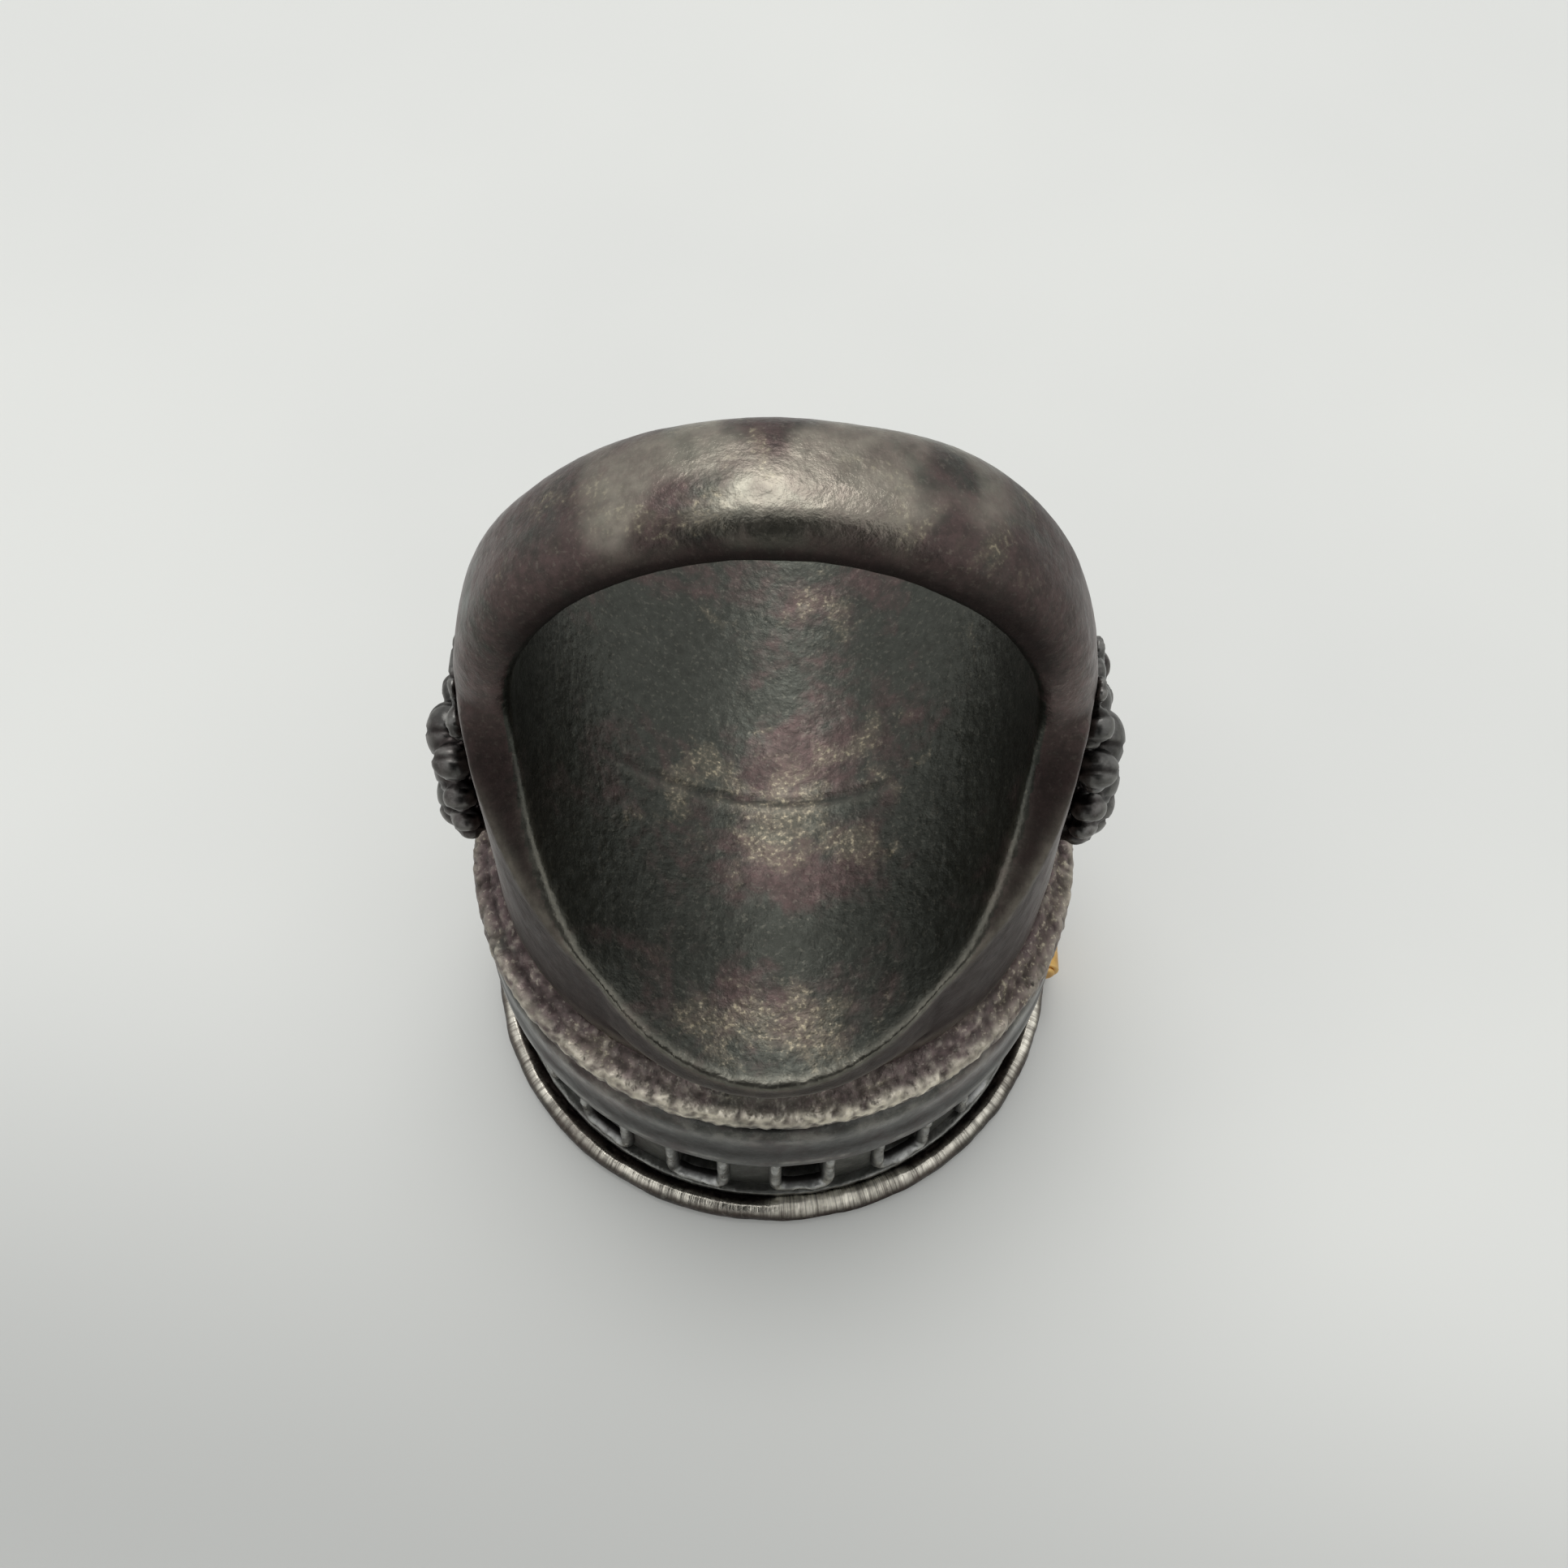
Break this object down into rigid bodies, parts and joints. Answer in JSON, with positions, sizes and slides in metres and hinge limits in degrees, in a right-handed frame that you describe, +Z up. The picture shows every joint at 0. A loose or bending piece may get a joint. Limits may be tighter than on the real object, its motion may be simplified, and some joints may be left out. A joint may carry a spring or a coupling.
{
  "type": "locket ring",
  "caption": "Cast pewter finger ring whose round, windowed head is a small compartment closed by a hinged lid, with scroll ornaments on its shoulders.",
  "frame": {"origin": "on the table, at the middle of the round lid that the ring stands on", "axes": "+Z up through the head to the back of the band, +Y along the finger, +X towards the hinge"},
  "size_m": [0.0286, 0.0272, 0.0388],
  "materials": {
    "band_pewter": "antiqued cast pewter, hand-rubbed, purple-brown tarnish",
    "ornament_pewter": "antiqued cast pewter, dark in the hollows",
    "head_pewter": "sand-grained antiqued pewter with worn warm highlights",
    "worn_pewter": "worn bright pewter on the raised edges",
    "lining_pewter": "dark oxidised pewter",
    "hinge_brass": "satin brass"
  },
  "bodies": {
    "lid": {"lid_rim": "worn_pewter", "lid_plate": "head_pewter", "lid_collar": "lining_pewter", "lid_boss": "worn_pewter", "hinge_knuckle_lid": "hinge_brass"},
    "ring": {"shank": "band_pewter", "shoulder_ornament_left": "ornament_pewter", "shoulder_ornament_right": "ornament_pewter", "cornice": "head_pewter", "torus_moulding": "head_pewter", "gallery_wall": "head_pewter", "gallery_plinth": "head_pewter", "window_frames": "worn_pewter", "compartment_cup": "lining_pewter", "hinge_knuckles_head": "hinge_brass", "hinge_pin": "hinge_brass"}
  },
  "joints": [
    {"name": "lid_hinge", "type": "hinge", "parent": "lid", "child": "ring", "pos_m": [0.01325, 0, 0.003], "axis": [0, 1, 0], "range_deg": [0, 90]}
  ]
}
